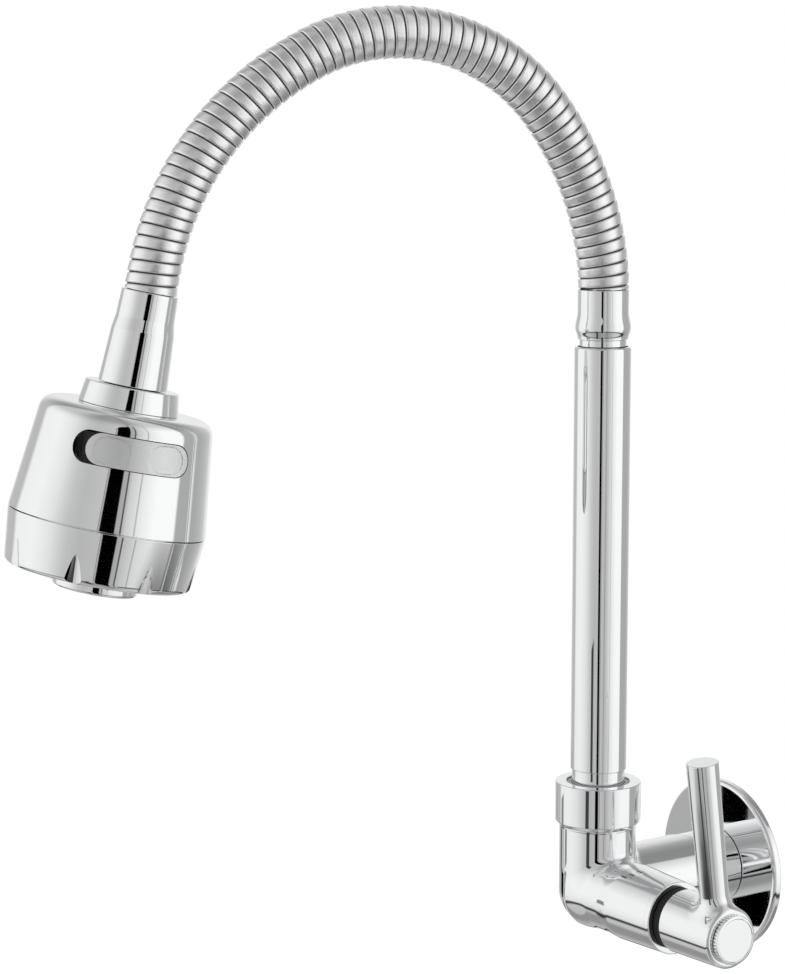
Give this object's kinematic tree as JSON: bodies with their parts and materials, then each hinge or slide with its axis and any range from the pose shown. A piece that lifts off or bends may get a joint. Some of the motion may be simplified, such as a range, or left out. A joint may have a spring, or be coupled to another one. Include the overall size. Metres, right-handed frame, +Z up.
{
  "type": "wall-mounted swivel faucet",
  "caption": "Single-lever wall faucet: swivelling riser, ribbed gooseneck bent by hand, and a spray head with a two-way selector.",
  "frame": {"origin": "middle of the wall flange's back face, on the wall, where the inlet thread goes in", "axes": "+Y into the wall, +X along the valve arm towards its lever, +Z up along the riser"},
  "size_m": [0.1874, 0.3004, 0.3808],
  "materials": {
    "polished_chrome": "mirror-bright chrome plate over brass",
    "plated_plastic": "mirror-bright chrome plate over moulded plastic",
    "wound_steel": "bright plated wound strip with fine ribs",
    "plain_brass": "machined brass",
    "spring_steel": "plain stainless steel",
    "ceramic": "ground ceramic",
    "seal_rubber": "black moulded rubber",
    "nozzle_rubber": "soft grey moulded rubber",
    "black_plastic": "black moulded plastic",
    "moulded_grey": "grey moulded plastic",
    "moulded_white": "white moulded plastic"
  },
  "bodies": {
    "valve": {"wall_flange": "polished_chrome", "flange_gasket": "seal_rubber", "valve_body": "polished_chrome", "swivel_bush": "moulded_grey", "spout_snap_ring": "spring_steel", "seat_seal": "seal_rubber", "cartridge_body": "plain_brass", "fixed_disc": "ceramic", "spacer_ring": "black_plastic"},
    "lever": {"lever_handle": "polished_chrome", "stem": "plain_brass", "stem_o_ring_1": "seal_rubber", "stem_o_ring_2": "seal_rubber", "stem_clip": "spring_steel", "moving_disc": "ceramic", "handle_screw": "spring_steel", "index_cap": "polished_chrome"},
    "spout": {"riser_tube": "polished_chrome", "riser_spigot": "polished_chrome", "spigot_o_ring_1": "seal_rubber", "spigot_o_ring_2": "seal_rubber", "riser_ferrule": "polished_chrome", "gooseneck_1": "wound_steel"},
    "bend_1": {"gooseneck_2": "wound_steel"},
    "bend_2": {"gooseneck_3": "wound_steel"},
    "bend_3": {"gooseneck_4": "wound_steel"},
    "bend_4": {"gooseneck_5": "wound_steel"},
    "head": {"gooseneck_6": "wound_steel", "head_ferrule": "plated_plastic", "head_washer": "seal_rubber", "head_collar": "plated_plastic", "head_housing": "plated_plastic", "water_block": "moulded_grey", "detent_ball": "spring_steel", "detent_spring": "spring_steel", "bezel": "plated_plastic", "spray_plate": "nozzle_rubber", "outlet_ring": "plated_plastic", "aerator": "moulded_white", "aerator_washer": "seal_rubber"},
    "selector": {"selector_button": "plated_plastic"}
  },
  "joints": [
    {"name": "lever_turn", "type": "hinge", "parent": "valve", "child": "lever", "pos_m": [0, -0.0665, 0], "axis": [1, 0, 0], "range_deg": [0, 90]},
    {"name": "spout_swivel", "type": "hinge", "parent": "valve", "child": "spout", "pos_m": [0, -0.0665, 0], "axis": [0, 0, 1], "range_deg": [-70.5, 109.5]},
    {"name": "neck_bend_1", "type": "hinge", "parent": "spout", "child": "bend_1", "pos_m": [-0.00297, -0.07488, 0.28525], "axis": [0.9426, -0.3338, 0], "range_deg": [-14, 8]},
    {"name": "neck_bend_2", "type": "hinge", "parent": "bend_1", "child": "bend_2", "pos_m": [-0.01297, -0.10312, 0.32222], "axis": [0.9426, -0.3338, 0], "range_deg": [-14, 8]},
    {"name": "neck_bend_3", "type": "hinge", "parent": "bend_2", "child": "bend_3", "pos_m": [-0.02811, -0.14588, 0.33573], "axis": [0.9426, -0.3338, 0], "range_deg": [-14, 8]},
    {"name": "neck_bend_4", "type": "hinge", "parent": "bend_3", "child": "bend_4", "pos_m": [-0.04311, -0.18823, 0.32037], "axis": [0.9426, -0.3338, 0], "range_deg": [-14, 8]},
    {"name": "neck_bend_5", "type": "hinge", "parent": "bend_4", "child": "head", "pos_m": [-0.054, -0.219, 0.28557], "axis": [0.9426, -0.3338, 0], "range_deg": [-14, 8]},
    {"name": "selector_slide_round", "type": "hinge", "parent": "head", "child": "selector", "pos_m": [-0.05897, -0.23301, 0.24008], "axis": [0.0665, 0.1879, 0.9799], "range_deg": [-6.6, 0]}
  ]
}
